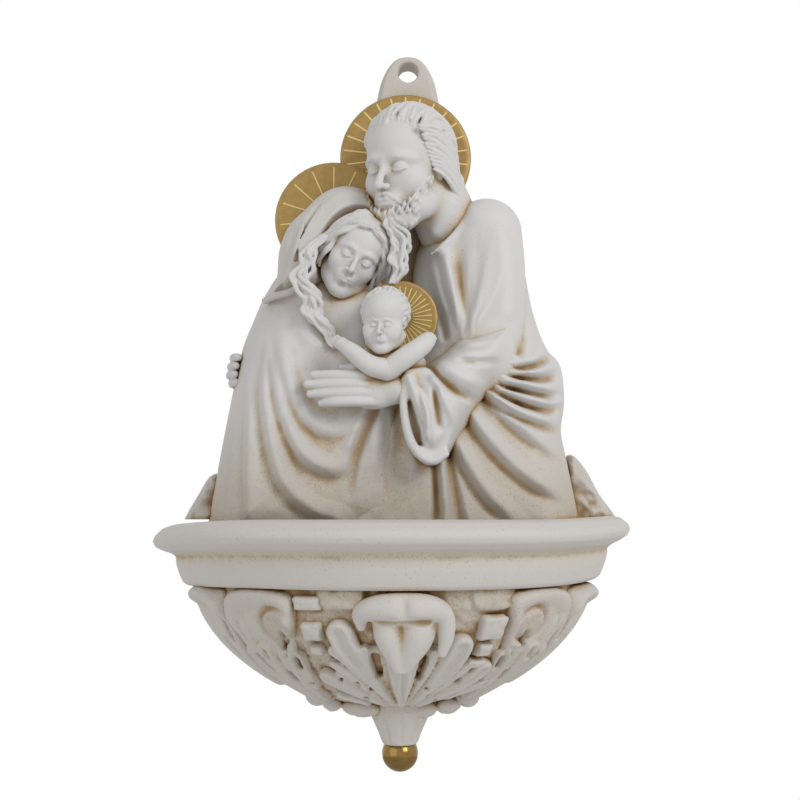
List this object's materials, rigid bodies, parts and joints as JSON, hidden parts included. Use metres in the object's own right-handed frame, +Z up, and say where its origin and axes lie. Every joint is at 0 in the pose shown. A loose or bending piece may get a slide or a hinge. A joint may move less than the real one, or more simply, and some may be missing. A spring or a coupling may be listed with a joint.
{
  "type": "holy water stoup",
  "caption": "Wall-hung holy water stoup: half-round basin with carved leaves and a gilt ball finial, below a high-relief family group with gilt halos.",
  "frame": {"origin": "centre of the hanging hole, on the plane of the wall", "axes": "+Z up, -Y out of the wall towards the room, +X to the right as seen from the room"},
  "size_m": [0.1678, 0.079, 0.2552],
  "materials": {
    "basin_stone": "matt ivory cast stone, brown wash left in the carving",
    "figure_stone": "matt ivory cast stone, fine brown speckle and brown wash in the folds",
    "gilding": "satin gold paint, darker in the grooves"
  },
  "bodies": {
    "root": {"back_plate": "basin_stone", "basin_bowl": "basin_stone", "basin_rim": "basin_stone", "child_body": "figure_stone", "child_halo": "gilding", "child_head": "figure_stone", "child_left_arm": "figure_stone", "child_right_arm": "figure_stone", "finial_ball": "gilding", "finial_bud": "basin_stone", "front_leaf": "basin_stone", "left_husk": "basin_stone", "left_leaf": "basin_stone", "left_rock": "basin_stone", "left_wall_leaf": "basin_stone", "man_far_hand": "figure_stone", "man_halo": "gilding", "man_hand": "figure_stone", "man_head": "figure_stone", "man_robe": "figure_stone", "man_sleeve": "figure_stone", "petal_collar": "basin_stone", "right_husk": "basin_stone", "right_leaf": "basin_stone", "right_rock": "basin_stone", "right_wall_leaf": "basin_stone", "scroll_boss": "basin_stone", "woman_halo": "gilding", "woman_head": "figure_stone", "woman_left_lock": "figure_stone", "woman_mantle": "figure_stone", "woman_right_lock": "figure_stone", "woman_veil": "figure_stone"}
  },
  "joints": []
}
